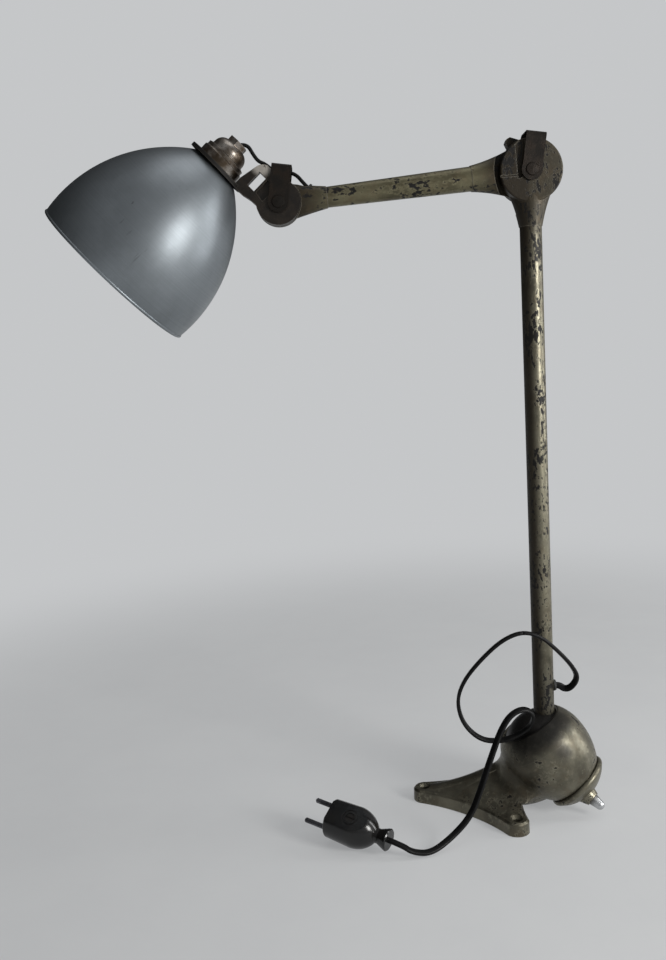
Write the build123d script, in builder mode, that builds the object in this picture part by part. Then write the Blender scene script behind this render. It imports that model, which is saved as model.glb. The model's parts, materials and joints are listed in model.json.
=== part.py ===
import os
from math import cos, pi, radians, sin, sqrt, tan

from build123d import *

os.makedirs("parts", exist_ok=True)

# Driving dimensions in millimetres and degrees
bolt_circle = 110
screw_hole = 6.4
foot_width = 19
foot_height = 11
waist = 30
socket_offset = 50
ball_height = 51.5
ball_r = 34
socket_wall = 3.4
mouth_rise = 60
mouth_half = 49
cap_drop = 47
mast_length = 474
mast_r = 8.6
mast_bore = 6.2
arm_swing = 14
arm_length = 197
arm_droop = 3.8
arm_r_elbow = 9.4
arm_r_head = 7.9
elbow_disc_r = 24.4
head_disc_r = 17.4
strip_width = 15.4
strip_sheet = 1.6
strip_lean = 9
shade_dip = 42
shade_rim_r = 68.7
shade_depth = 113.4
shade_neck_r = 22
shade_sheet = 1.0
bracket_reach = 53.5
bracket_rise = 17.6
flex_r = 1.9
head_flex_r = 1.45
plug_body_r = 16.3
plug_face_r = 15.4
plug_collar_r = 8.9
plug_length = 52.8
pin_spacing = 19
pin_length = 20

# Clearances
fit = 0.05
running = 0.08
apart = 0.35
joint_gap = 0.5

# Directions and centres of the assembly at rest
up = Vector(0, 0, 1)
swing = radians(arm_swing)
side = Vector(cos(swing), sin(swing), 0)
hinge = Vector(-sin(swing), cos(swing), 0)
droop = radians(arm_droop)
arm_dir = side * -cos(droop) - up * sin(droop)
arm_rise = up * cos(droop) - side * sin(droop)
dip = radians(shade_dip)
shade_dir = side * -cos(dip) - up * sin(dip)
shade_side = side * sin(dip) - up * cos(dip)
rise = radians(mouth_rise)
mouth_dir = Vector(-cos(rise), 0, sin(rise))
mouth_side = Vector(sin(rise), 0, cos(rise))
drop = radians(cap_drop)
cap_dir = Vector(cos(drop), 0, -sin(drop))
cap_side = Vector(sin(drop), 0, cos(drop))

ball_at = Vector(socket_offset, 0, ball_height)
elbow_at = ball_at + up * mast_length
head_at = elbow_at + arm_dir * arm_length
neck_at = head_at + shade_dir * bracket_rise - shade_side * bracket_reach


def lathe(at, radial, axial):
    return Plane(origin=at, x_dir=radial, z_dir=radial.cross(axial))


mouth_lathe = lathe(ball_at, mouth_side, mouth_dir)
mouth_axis = Axis(ball_at, mouth_dir)
cap_lathe = lathe(ball_at, cap_side, cap_dir)
cap_axis = Axis(ball_at, cap_dir)
mast_lathe = lathe(ball_at, side, up)
mast_axis = Axis(ball_at, up)
arm_lathe = lathe(elbow_at, arm_rise, arm_dir)
arm_axis = Axis(elbow_at, arm_dir)
shade_lathe = lathe(neck_at, shade_side, -shade_dir)
shade_axis = Axis(neck_at, -shade_dir)
elbow_face = Plane(origin=elbow_at, x_dir=side, z_dir=-hinge)
head_face = Plane(origin=head_at, x_dir=side, z_dir=-hinge)
bracket_face = Plane(origin=neck_at, x_dir=shade_side, z_dir=-hinge)


def mast_section(height):
    return Plane(origin=elbow_at + up * height, x_dir=side, z_dir=up)


def arm_section(reach):
    return Plane(origin=elbow_at + arm_dir * reach, x_dir=arm_rise, z_dir=arm_dir)


# Foot casting: egg-shaped socket on a three-legged skirt
socket_r = ball_r + socket_wall
seam = 34
belly_in = 20.6
belly_arc = socket_r + belly_in
seam_r = sqrt(belly_arc**2 - seam**2) - belly_in
belly_mid = sqrt(belly_arc**2 - (seam / 2) ** 2) - belly_in
cap_bore = seam_r - 2.1
cavity_r = ball_r + running
ring_level = 7
feet = [180, 300, 420]
foot_half = foot_width / 2
foot_reach = bolt_circle / 2 + foot_half
toe_edge = 1.7
neck_drop = 24
neck_shift = 5
neck_r = 22
neck_turn = radians(32)
neck_dir = Vector(-socket_offset, 0, -ball_height).normalized()
neck_across = Vector(-neck_dir.Z, 0, neck_dir.X)
neck_centre = ball_at + neck_dir * neck_drop + neck_across * neck_shift
neck_plane = Plane(origin=neck_centre, x_dir=neck_across, z_dir=-neck_dir)
throat_at = ball_at + neck_across * 4.5
throat_top = (29, 12)
throat_mid = (27, 27)
throat_foot = (17, 49)
hollow_drop = 41
hollow_r = 11
hollow_plane = Plane(origin=ball_at + neck_dir * hollow_drop, x_dir=neck_across, z_dir=-neck_dir)


def spoke(reach, turn, aside=0):
    along = Vector(cos(radians(turn)), sin(radians(turn)))
    across = Vector(-sin(radians(turn)), cos(radians(turn)))
    return along * reach + across * aside


def skirt_plane(share, lean):
    at = neck_centre * share + up * foot_height * (1 - share)
    turn = radians(lean)
    return Plane(origin=at, x_dir=(cos(turn), 0, -sin(turn)), z_dir=(sin(turn), 0, cos(turn)))


# Each section of the skirt: plane, reach of the toes, roundness, half width, reach between the toes
edge_plane = Plane.XY.offset(foot_height - toe_edge)
foot_walls = [
    (Plane.XY, foot_reach, 6, foot_half, waist),
    (edge_plane, foot_reach - 0.2, 6, foot_half - 0.1, waist - 0.7),
    (Plane.XY.offset(foot_height), foot_reach - toe_edge, 5.5, foot_half - toe_edge, waist - toe_edge),
]
foot_flow = [
    (edge_plane, foot_reach - 3, 5.5, foot_half - 2.2, waist - 0.95),
    (skirt_plane(0.08, 0), foot_reach - 15.5, 6, foot_half - 2.5, waist - 1.3),
    (skirt_plane(0.45, 10), foot_reach - 35.5, 7, foot_half - 0.5, waist - 8.5),
    (neck_plane, neck_r, neck_r * (1 - cos(neck_turn)), neck_r * sin(neck_turn), neck_r),
]
foot_hollow = [
    (Plane.XY, foot_reach - 20.5, 4.5, foot_half - 5, waist - 6),
    (hollow_plane, hollow_r, hollow_r * (1 - cos(neck_turn)), hollow_r * sin(neck_turn), hollow_r),
]


def star_faces(sections):
    faces = []
    for plane, reach, blunt, half, hip in sections:
        with BuildSketch(plane) as section:
            with BuildLine():
                for turn in feet:
                    heel = reach - blunt
                    ThreePointArc(spoke(heel, turn, -half), spoke(reach, turn), spoke(heel, turn, half))
                    ThreePointArc(spoke(heel, turn, half), spoke(hip, turn + 60), spoke(heel, turn + 120, -half))
            make_face()
        faces.append(section.sketch)
    return faces


sink_r = 5.6
sink_rise = 0.6
with BuildPart() as foot_casting:
    loft(star_faces(foot_walls), ruled=True)
    loft(star_faces(foot_flow))
    with BuildSketch(cap_lathe):
        with BuildLine():
            Line((0, seam), (seam_r, seam))
            ThreePointArc((seam_r, seam), (belly_mid, seam / 2), (socket_r, 0))
            ThreePointArc((socket_r, 0), (socket_r * cos(pi / 4), -socket_r * sin(pi / 4)), (0, -socket_r))
            Line((0, -socket_r), (0, seam))
        make_face()
    revolve(axis=cap_axis)
    # Throat that carries the socket down into the skirt
    with BuildSketch(lathe(throat_at, neck_across, neck_dir)):
        with BuildLine():
            Line((0, throat_top[1]), throat_top)
            ThreePointArc(throat_top, throat_mid, throat_foot)
            Polyline(throat_foot, (0, throat_foot[1]), (0, throat_top[1]))
        make_face()
    revolve(axis=Axis(throat_at, neck_dir))
    loft(star_faces(foot_hollow), mode=Mode.SUBTRACT)
    # Ball seat, open upwards so that the ball goes in before the ring
    with BuildSketch(mouth_lathe):
        with BuildLine():
            ThreePointArc((0, -cavity_r), (cavity_r * cos(pi / 4), -cavity_r * sin(pi / 4)), (cavity_r, 0))
            Line((cavity_r, 0), (cavity_r, ring_level))
            Line((cavity_r, ring_level), (socket_r + apart, ring_level))
            Line((socket_r + apart, ring_level), (socket_r + apart, socket_r + 5))
            Line((socket_r + apart, socket_r + 5), (0, socket_r + 5))
            Line((0, socket_r + 5), (0, -cavity_r))
        make_face()
    revolve(axis=mouth_axis, mode=Mode.SUBTRACT)
    with BuildSketch(cap_lathe):
        with Locations((cap_bore / 2, seam - 6)):
            Rectangle(cap_bore, 14)
    revolve(axis=cap_axis, mode=Mode.SUBTRACT)
    with Locations(Plane.XY.offset(foot_height + sink_rise)):
        with PolarLocations(bolt_circle / 2, 3, start_angle=180):
            CounterSinkHole(screw_hole / 2, sink_r)
foot_casting.part.label = "foot_casting"
export_step(foot_casting.part, "parts/foot_casting.step")

# Ring that closes the socket over the ball, with a rounded mouth
lip = radians(mouth_half)
seat = cavity_r
lip_mid_r = (seat + socket_r) / 2 * sin(lip)
lip_mid_w = (seat + socket_r) / 2 * cos(lip)
lip_half = (socket_r - seat) / 2
with BuildPart() as mouth_ring:
    with BuildSketch(mouth_lathe):
        with BuildLine():
            ring_low = sqrt(socket_r**2 - ring_level**2)
            seat_low = sqrt(seat**2 - ring_level**2)
            middle = radians(64)
            Line((seat_low, ring_level), (ring_low, ring_level))
            ThreePointArc(
                (ring_low, ring_level),
                (socket_r * sin(middle), socket_r * cos(middle)),
                (socket_r * sin(lip), socket_r * cos(lip)),
            )
            ThreePointArc(
                (socket_r * sin(lip), socket_r * cos(lip)),
                (lip_mid_r - lip_half * cos(lip), lip_mid_w + lip_half * sin(lip)),
                (seat * sin(lip), seat * cos(lip)),
            )
            ThreePointArc(
                (seat * sin(lip), seat * cos(lip)),
                (seat * sin(middle), seat * cos(middle)),
                (seat_low, ring_level),
            )
        make_face()
    revolve(axis=mouth_axis)
mouth_ring.part.label = "mouth_ring"
export_step(mouth_ring.part, "parts/mouth_ring.step")

# Ball that the mast stands in
mast_sink = 14
with BuildPart() as pivot_ball:
    with BuildSketch(mast_lathe):
        with BuildLine():
            bore_top = sqrt(ball_r**2 - (mast_r + running) ** 2)
            Line((0, mast_sink), (mast_r + running, mast_sink))
            Line((mast_r + running, mast_sink), (mast_r + running, bore_top))
            ThreePointArc((mast_r + running, bore_top), (ball_r, 0), (0, -ball_r))
            Line((0, -ball_r), (0, mast_sink))
        make_face()
    revolve(axis=mast_axis)
pivot_ball.part.label = "pivot_ball"
export_step(pivot_ball.part, "parts/pivot_ball.step")

# Clamp under the ball: pad, screwed cap and lever
pad_r = 21
pad_floor = 38
cap_shoulder = seam + 1.5
cap_apex = 51.3
cap_edge_r = seam_r - 0.2
cap_bulge = 1.1
dome_foot = cap_shoulder + 4.6
dome_arc = (cap_edge_r**2 + (cap_apex - dome_foot) ** 2) / (2 * (cap_apex - dome_foot))
dome_half_w = cap_apex - dome_arc + sqrt(dome_arc**2 - (cap_edge_r * 0.6) ** 2)
with BuildPart() as pressure_pad:
    with BuildSketch(cap_lathe):
        with BuildLine():
            pad_rim = sqrt(seat**2 - pad_r**2)
            pad_mid = sqrt(seat**2 - (pad_r / 2) ** 2)
            ThreePointArc((0, seat), (pad_r / 2, pad_mid), (pad_r, pad_rim))
            Line((pad_r, pad_rim), (pad_r, pad_floor))
            Line((pad_r, pad_floor), (0, pad_floor))
            Line((0, pad_floor), (0, seat))
        make_face()
    revolve(axis=cap_axis)
pressure_pad.part.label = "pressure_pad"
export_step(pressure_pad.part, "parts/pressure_pad.step")

lever_root = ball_at + cap_dir * 42 + Vector(0, -9, 0)
lever_tip = ball_at + cap_dir * 63 + Vector(0, -17, 0) + cap_side * 5
lever_dir = (lever_tip - lever_root).normalized()
lever_side = lever_dir.cross(cap_side).normalized()
lever_run = (lever_tip - lever_root).length
lever_lathe = lathe(lever_root, lever_side, lever_dir)
lever_plane = Plane(origin=lever_root, x_dir=lever_side, z_dir=lever_dir)
lever_axis = Axis(lever_root, lever_dir)
lever_root_r = 4.9
lever_tip_r = 3.9
boss_low = 3
boss_top = 12.5
with BuildPart() as clamp_cap:
    with BuildSketch(cap_lathe):
        with BuildLine():
            spigot_r = cap_bore - apart
            spigot_top = 27.5
            pocket_r = pad_r + fit
            Polyline(
                (0, pad_floor + fit),
                (pocket_r, pad_floor + fit),
                (pocket_r, spigot_top),
                (spigot_r, spigot_top),
                (spigot_r, cap_shoulder),
                (cap_edge_r, cap_shoulder),
            )
            ThreePointArc(
                (cap_edge_r, cap_shoulder),
                (cap_edge_r + cap_bulge, (cap_shoulder + dome_foot) / 2),
                (cap_edge_r, dome_foot),
            )
            ThreePointArc((cap_edge_r, dome_foot), (cap_edge_r * 0.6, dome_half_w), (0, cap_apex))
            Line((0, cap_apex), (0, pad_floor + fit))
        make_face()
    revolve(axis=cap_axis)
    with BuildSketch(lever_plane.offset(boss_low)):
        Circle(lever_root_r + 4.6)
    with BuildSketch(lever_plane.offset(boss_top)):
        Circle(lever_root_r + 1.2)
    loft()
    with BuildSketch(lever_plane):
        Circle(lever_root_r + fit)
    extrude(amount=lever_run, mode=Mode.SUBTRACT)
clamp_cap.part.label = "clamp_cap"
export_step(clamp_cap.part, "parts/clamp_cap.step")

with BuildPart() as clamp_lever:
    with BuildSketch(lever_lathe):
        with BuildLine():
            Line((0, fit), (lever_root_r, fit))
            Line((lever_root_r, fit), (lever_root_r, boss_top))
            Line((lever_root_r, boss_top), (lever_tip_r, lever_run - lever_tip_r))
            ThreePointArc(
                (lever_tip_r, lever_run - lever_tip_r),
                (lever_tip_r * cos(pi / 4), lever_run - lever_tip_r + lever_tip_r * sin(pi / 4)),
                (0, lever_run),
            )
            Line((0, lever_run), (0, fit))
        make_face()
    revolve(axis=lever_axis)
clamp_lever.part.label = "clamp_lever"
export_step(clamp_lever.part, "parts/clamp_lever.step")

# Mast with its cord hole and bush
cord_height = 55.5
cord_hole_r = 3.2
neck_end = elbow_disc_r + 17.6
neck_bore_top = elbow_disc_r + 2.6
mast_top = mast_length - neck_bore_top - fit
exit_plane = Plane(origin=ball_at + up * cord_height, x_dir=up, z_dir=side)
with BuildPart() as mast_tube:
    with BuildSketch(mast_lathe):
        with Locations(((mast_r + mast_bore) / 2, (mast_sink + fit + mast_top) / 2)):
            Rectangle(mast_r - mast_bore, mast_top - mast_sink - fit)
    revolve(axis=mast_axis)
    with BuildSketch(exit_plane):
        Circle(cord_hole_r)
    extrude(amount=mast_r + 2, mode=Mode.SUBTRACT)
mast_tube.part.label = "mast_tube"
export_step(mast_tube.part, "parts/mast_tube.step")

bush_face = mast_r + 1.7
with BuildPart() as mast_bush:
    with BuildSketch(lathe(exit_plane.origin, up, side)):
        with BuildLine():
            Polyline(
                (flex_r + fit, mast_bore - 0.8),
                (cord_hole_r - fit, mast_bore - 0.8),
                (cord_hole_r - fit, mast_r + fit),
                (4.8, mast_r + fit),
                (4.3, bush_face),
                (flex_r + fit, bush_face),
                close=True,
            )
        make_face()
    revolve(axis=Axis(exit_plane.origin, side))
mast_bush.part.label = "mast_bush"
export_step(mast_bush.part, "parts/mast_bush.step")

# Elbow: front disc on the mast, rear disc on the arm
elbow_thick = 9.4
elbow_front = joint_gap + elbow_thick
disc_edge = 1.3
pin_r = 4
mast_neck_clear = elbow_disc_r + 9.6
arm_neck_clear = elbow_disc_r + 4.6


def disc_profile(disc_r, face):
    shoulder = face - disc_edge
    slope = disc_edge * sin(pi / 4)
    Polyline((disc_r - disc_edge, face), (0, face), (0, joint_gap), (disc_r, joint_gap), (disc_r, shoulder))
    ThreePointArc(
        (disc_r, shoulder),
        (disc_r - disc_edge + slope, shoulder + slope),
        (disc_r - disc_edge, face),
    )


with BuildPart() as mast_head:
    with BuildSketch(mast_section(-neck_end)):
        Circle(mast_r + 0.5)
    with BuildSketch(mast_section(-elbow_disc_r - 4.6)):
        Ellipse(12.3, elbow_front + 0.6)
    with BuildSketch(mast_section(9.4 - elbow_disc_r)):
        Ellipse(17.6, elbow_front - 0.6)
    loft()
    with BuildSketch(lathe(elbow_at, side, -hinge)):
        with BuildLine():
            disc_profile(elbow_disc_r, elbow_front)
        make_face()
    revolve(axis=Axis(elbow_at, hinge))
    with BuildSketch(elbow_face.offset(joint_gap)):
        Circle(mast_neck_clear)
    extrude(amount=-20, mode=Mode.SUBTRACT)
    with BuildSketch(mast_section(-neck_end - 1)):
        Circle(mast_r + fit)
    extrude(amount=neck_end + 1 - neck_bore_top, mode=Mode.SUBTRACT)
    with BuildSketch(elbow_face):
        Circle(pin_r + fit)
    extrude(amount=20, mode=Mode.SUBTRACT)
    # Recess and step beside the strip
    with BuildSketch(elbow_face.offset(elbow_front - 2.6)):
        with BuildLine():
            Polyline(
                spoke(elbow_disc_r - 1.7, 123),
                spoke(elbow_disc_r + 0.3, 108),
                spoke(elbow_disc_r + 0.4, 99),
                (-6.5, -5),
                (-10.5, -6.5),
                close=True,
            )
        make_face()
    extrude(amount=10, mode=Mode.SUBTRACT)
    with BuildSketch(elbow_face.offset(elbow_front - 1.1)):
        with Locations((-(elbow_disc_r + 11.6) / 2, -4)):
            Rectangle(elbow_disc_r - 9.4, 1.5)
    extrude(amount=10, mode=Mode.SUBTRACT)
mast_head.part.label = "mast_head"
export_step(mast_head.part, "parts/mast_head.step")

arm_neck_end = elbow_disc_r + 21.6
arm_socket_r = arm_r_elbow - 0.9
arm_sink = elbow_disc_r + 6.6
with BuildPart() as arm_root:
    with BuildSketch(arm_section(arm_neck_end)):
        Circle(arm_r_elbow + 0.5)
    with BuildSketch(arm_section(elbow_disc_r + 5.6)):
        Ellipse(13.2, arm_r_elbow + 0.4)
    with BuildSketch(arm_section(elbow_disc_r - 8.4)):
        Ellipse(18, arm_r_elbow + 0.3)
    loft()
    with BuildSketch(lathe(elbow_at, side, hinge)):
        with BuildLine():
            disc_profile(elbow_disc_r, elbow_front)
        make_face()
    revolve(axis=Axis(elbow_at, hinge))
    with BuildSketch(elbow_face.offset(-joint_gap - 1.5)):
        with BuildLine():
            Polyline(
                spoke(elbow_disc_r - 3, 104),
                spoke(elbow_disc_r + 0.5, 103),
                spoke(elbow_disc_r + 6, 117),
                spoke(elbow_disc_r + 6.2, 122),
                spoke(elbow_disc_r + 4.6, 127),
                spoke(elbow_disc_r - 3, 131),
                close=True,
            )
        make_face()
    extrude(amount=1.5 - elbow_thick)
    with BuildSketch(elbow_face.offset(-joint_gap)):
        Circle(arm_neck_clear)
    extrude(amount=20, mode=Mode.SUBTRACT)
    with BuildSketch(arm_section(arm_sink)):
        Circle(arm_socket_r + fit)
    extrude(amount=20, mode=Mode.SUBTRACT)
    with BuildSketch(elbow_face):
        Circle(pin_r + running)
    extrude(amount=-20, mode=Mode.SUBTRACT)
arm_root.part.label = "arm_root"
export_step(arm_root.part, "parts/arm_root.step")

# Spring strip bent over both discs, the same form at both joints
elbow_lean = Plane(
    origin=elbow_at,
    x_dir=side * cos(radians(strip_lean)) - up * sin(radians(strip_lean)),
    z_dir=-hinge,
)
elbow_inner = elbow_front + apart
elbow_strip_top = elbow_disc_r + 4.2
strip_eye = strip_width / 2 + 0.4
strip_bend = 1.2
strip_spare = 10
with BuildPart() as elbow_strip:
    with BuildSketch(Plane(origin=elbow_at, x_dir=hinge, z_dir=elbow_lean.x_dir)):
        with Locations((0, elbow_strip_top - strip_spare * 2)):
            RectangleRounded(2 * (elbow_inner + strip_sheet), strip_spare * 4, strip_bend + strip_sheet)
        with Locations((0, elbow_strip_top - strip_sheet - strip_spare * 2)):
            RectangleRounded(2 * elbow_inner, strip_spare * 4, strip_bend, mode=Mode.SUBTRACT)
    extrude(amount=strip_eye, both=True)
    with BuildSketch(elbow_lean):
        Circle(strip_eye)
        with Locations((0, elbow_strip_top)):
            Rectangle(strip_width, 2 * elbow_strip_top)
    extrude(amount=20, both=True, mode=Mode.INTERSECT)
    with BuildSketch(elbow_lean):
        Circle(pin_r + fit)
    extrude(amount=20, both=True, mode=Mode.SUBTRACT)
elbow_strip.part.label = "elbow_strip"
export_step(elbow_strip.part, "parts/elbow_strip.step")

pin_head_r = 5
pin_head = 1
nut_flats = 12
nut_thick = 5
elbow_outer = elbow_inner + strip_sheet
with BuildPart() as elbow_pin:
    with BuildSketch(lathe(elbow_at, side, -hinge)):
        with BuildLine():
            Polyline(
                (0, -elbow_outer - nut_thick - 2),
                (pin_r - 0.6, -elbow_outer - nut_thick - 2),
                (pin_r, -elbow_outer - nut_thick - 1.4),
                (pin_r, elbow_outer + fit),
                (pin_head_r, elbow_outer + fit),
                (pin_head_r - 0.6, elbow_outer + pin_head),
                (0, elbow_outer + pin_head + 0.3),
                close=True,
            )
        make_face()
    revolve(axis=Axis(elbow_at, hinge))
elbow_pin.part.label = "elbow_pin"
export_step(elbow_pin.part, "parts/elbow_pin.step")

with BuildPart() as elbow_nut:
    with BuildSketch(elbow_face.offset(-elbow_outer - fit)):
        RegularPolygon(nut_flats / 2, 6, major_radius=False)
        Circle(pin_r + fit, mode=Mode.SUBTRACT)
    extrude(amount=-nut_thick)
elbow_nut.part.label = "elbow_nut"
export_step(elbow_nut.part, "parts/elbow_nut.step")

washer_r = 15
with BuildPart() as elbow_washer:
    with BuildSketch(elbow_face.offset(joint_gap - fit)):
        Circle(washer_r)
        Circle(pin_r + fit, mode=Mode.SUBTRACT)
    extrude(amount=fit + running - 2 * joint_gap)
elbow_washer.part.label = "elbow_washer"
export_step(elbow_washer.part, "parts/elbow_washer.step")

# Tapered arm tube and its head-end casting
tip_neck_end = arm_length - head_disc_r - 20.6
tip_sink = arm_length - head_disc_r - 11.6
arm_bore = 5.6
tip_socket_r = arm_r_head - 0.9
with BuildPart() as arm_tube:
    with BuildSketch(arm_lathe):
        with BuildLine():
            Polyline(
                (arm_bore, arm_sink + fit),
                (arm_socket_r, arm_sink + fit),
                (arm_socket_r, arm_neck_end + fit),
                (arm_r_elbow, arm_neck_end + fit),
                (arm_r_head, tip_neck_end - fit),
                (tip_socket_r, tip_neck_end - fit),
                (tip_socket_r, tip_sink - fit),
                (arm_bore, tip_sink - fit),
                close=True,
            )
        make_face()
    revolve(axis=arm_axis)
arm_tube.part.label = "arm_tube"
export_step(arm_tube.part, "parts/arm_tube.step")

head_thick = 8.4
head_front = joint_gap + head_thick
port_slant = radians(40)
port_at = elbow_at + arm_dir * (arm_length - head_disc_r - 14.4)
port_dir = arm_rise * cos(port_slant) + arm_dir * sin(port_slant)
port_plane = Plane(origin=port_at, x_dir=hinge, z_dir=port_dir)
port_hole_r = 2.9
port_flange_r = 4
port_in = 8
port_seat = 10.8
port_face = 12.2
with BuildPart() as arm_tip:
    with BuildSketch(arm_section(tip_neck_end)):
        Circle(arm_r_head + 0.5)
    with BuildSketch(arm_section(arm_length - head_disc_r - 6.6)):
        Ellipse(10.8, head_front)
    with BuildSketch(arm_section(arm_length - head_disc_r + 6.4)):
        Ellipse(13.5, head_front)
    loft()
    with BuildSketch(lathe(head_at, side, hinge)):
        with BuildLine():
            disc_profile(head_disc_r, head_front)
        make_face()
    revolve(axis=Axis(head_at, hinge))
    with BuildSketch(head_face.offset(-joint_gap)):
        Circle(head_disc_r + apart)
    extrude(amount=20, mode=Mode.SUBTRACT)
    with BuildSketch(arm_section(tip_sink)):
        Circle(tip_socket_r + fit)
    extrude(amount=-20, mode=Mode.SUBTRACT)
    with BuildSketch(head_face):
        Circle(pin_r + running)
    extrude(amount=-20, mode=Mode.SUBTRACT)
    with BuildSketch(port_plane.offset(port_in - fit)):
        Circle(port_hole_r)
    extrude(amount=10, mode=Mode.SUBTRACT)
    with BuildSketch(port_plane.offset(port_seat)):
        Circle(port_flange_r + apart)
    extrude(amount=10, mode=Mode.SUBTRACT)
arm_tip.part.label = "arm_tip"
export_step(arm_tip.part, "parts/arm_tip.step")

with BuildPart() as port_bush:
    with BuildSketch(lathe(port_at, hinge, port_dir)):
        with BuildLine():
            Polyline(
                (head_flex_r + fit, port_in),
                (port_hole_r - fit, port_in),
                (port_hole_r - fit, port_seat + fit),
                (port_flange_r, port_seat + fit),
                (port_flange_r - 0.4, port_face),
                (head_flex_r + fit, port_face),
                close=True,
            )
        make_face()
    revolve(axis=Axis(port_at, port_dir))
port_bush.part.label = "port_bush"
export_step(port_bush.part, "parts/port_bush.step")

# Head bracket: front disc, window and ring plate
plate_low = 1.6
plate_thick = 2.8
plate_top = plate_low + plate_thick
plate_r = 25
skirt_r = 16
holder_clear = 23.2
finger_span = bracket_reach - 19.5 - holder_clear
finger_low = (holder_clear, bracket_rise + 7)
finger_bow = (holder_clear + finger_span * 0.17, bracket_rise + 10.8)
finger_top = (holder_clear + finger_span * 0.54, bracket_rise + 13.7)
with BuildPart() as head_bracket:
    with BuildSketch(bracket_face.offset(joint_gap)):
        with Locations((bracket_reach, bracket_rise)):
            Circle(head_disc_r)
        with BuildLine():
            Polyline((20, plate_low), (20.2, 10), finger_low)
            ThreePointArc(finger_low, finger_bow, finger_top)
            Line(finger_top, (bracket_reach - 19.5, bracket_rise + 13.9))
            Polyline(
                (bracket_reach - 19.5, bracket_rise + 13.9),
                (bracket_reach - 8.5, bracket_rise + 12.9),
                (bracket_reach - 6.5, bracket_rise - 13.6),
                (bracket_reach - 16.5, bracket_rise - 14.2),
                (bracket_reach - 23.5, bracket_rise - 15.8),
                (20, plate_low),
            )
        make_face()
        with Locations((bracket_reach - 22.3, bracket_rise - 0.8)):
            Rectangle(7, 13.6, mode=Mode.SUBTRACT)
    extrude(amount=head_thick)
    with BuildSketch(Plane(origin=neck_at - shade_dir * plate_low, x_dir=shade_side, z_dir=-shade_dir)):
        Circle(plate_r)
        Circle(skirt_r + fit, mode=Mode.SUBTRACT)
    extrude(amount=plate_thick)
    with BuildSketch(bracket_face.offset(joint_gap)):
        with Locations((bracket_reach, bracket_rise)):
            Circle(pin_r + fit)
    extrude(amount=20, mode=Mode.SUBTRACT)
    with BuildSketch(bracket_face.offset(head_front - 2.4)):
        with BuildLine():
            Polyline(
                (bracket_reach - 17.1, bracket_rise + 5.8),
                (bracket_reach - 17.1, bracket_rise - 7.2),
                (bracket_reach - 9, bracket_rise - 8.6),
                (bracket_reach - 8, bracket_rise + 6.4),
                close=True,
            )
        make_face()
    extrude(amount=10, mode=Mode.SUBTRACT)
head_bracket.part.label = "head_bracket"
export_step(head_bracket.part, "parts/head_bracket.step")

head_lean = Plane(origin=head_at, x_dir=elbow_lean.x_dir, z_dir=-hinge)
head_inner = head_front + apart
head_strip_top = head_disc_r + 11.2
with BuildPart() as head_strip:
    with BuildSketch(Plane(origin=head_at, x_dir=hinge, z_dir=head_lean.x_dir)):
        with Locations((0, head_strip_top - strip_spare * 2)):
            RectangleRounded(2 * (head_inner + strip_sheet), strip_spare * 4, strip_bend + strip_sheet)
        with Locations((0, head_strip_top - strip_sheet - strip_spare * 2)):
            RectangleRounded(2 * head_inner, strip_spare * 4, strip_bend, mode=Mode.SUBTRACT)
    extrude(amount=strip_eye, both=True)
    with BuildSketch(head_lean):
        Circle(strip_eye)
        with Locations((0, head_strip_top)):
            Rectangle(strip_width, 2 * head_strip_top)
    extrude(amount=20, both=True, mode=Mode.INTERSECT)
    with BuildSketch(head_lean):
        Circle(pin_r + fit)
    extrude(amount=20, both=True, mode=Mode.SUBTRACT)
head_strip.part.label = "head_strip"
export_step(head_strip.part, "parts/head_strip.step")

head_outer = head_inner + strip_sheet
with BuildPart() as head_pin:
    with BuildSketch(lathe(head_at, side, -hinge)):
        with BuildLine():
            Polyline(
                (0, -head_outer - nut_thick - 2),
                (pin_r - 0.6, -head_outer - nut_thick - 2),
                (pin_r, -head_outer - nut_thick - 1.4),
                (pin_r, head_outer + fit),
                (pin_head_r, head_outer + fit),
                (pin_head_r - 0.6, head_outer + pin_head),
                (0, head_outer + pin_head + 0.3),
                close=True,
            )
        make_face()
    revolve(axis=Axis(head_at, hinge))
head_pin.part.label = "head_pin"
export_step(head_pin.part, "parts/head_pin.step")

with BuildPart() as head_nut:
    with BuildSketch(head_face.offset(-head_outer - fit)):
        RegularPolygon(nut_flats / 2, 6, major_radius=False)
        Circle(pin_r + fit, mode=Mode.SUBTRACT)
    extrude(amount=-nut_thick)
head_nut.part.label = "head_nut"
export_step(head_nut.part, "parts/head_nut.step")

with BuildPart() as head_washer:
    with BuildSketch(head_face.offset(joint_gap - fit)):
        Circle(washer_r - 3)
        Circle(pin_r + fit, mode=Mode.SUBTRACT)
    extrude(amount=fit + running - 2 * joint_gap)
head_washer.part.label = "head_washer"
export_step(head_washer.part, "parts/head_washer.step")

# Lampholder, turned about the shade axis
skirt_low = -30
skirt_top = 11
holder_wall = 1.1
with BuildPart() as holder_cap:
    with BuildSketch(shade_lathe):
        with BuildLine():
            Polyline((18, plate_top), (18, 10.4), (16.9, 11.4), (16.9, 14), (14.4, 15), (14.2, 17))
            ThreePointArc((14.2, 17), (12, 22.2), (8, 24.6))
            Polyline((8, 24.6), (5.2, 24.6), (5.2, 23.4), (7.6, 23.4))
            ThreePointArc((7.6, 23.4), (11.1, 21.3), (13.1, 17))
            Polyline((13.1, 17), (13.1, 13), (skirt_r + fit, 11.5), (skirt_r + fit, plate_top), (18, plate_top))
        make_face()
    revolve(axis=shade_axis)
holder_cap.part.label = "holder_cap"
export_step(holder_cap.part, "parts/holder_cap.step")

with BuildPart() as holder_skirt:
    with BuildSketch(shade_lathe):
        with Locations((skirt_r - holder_wall / 2, (skirt_low + skirt_top) / 2)):
            Rectangle(holder_wall, skirt_top - skirt_low)
    revolve(axis=shade_axis)
holder_skirt.part.label = "holder_skirt"
export_step(holder_skirt.part, "parts/holder_skirt.step")

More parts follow.
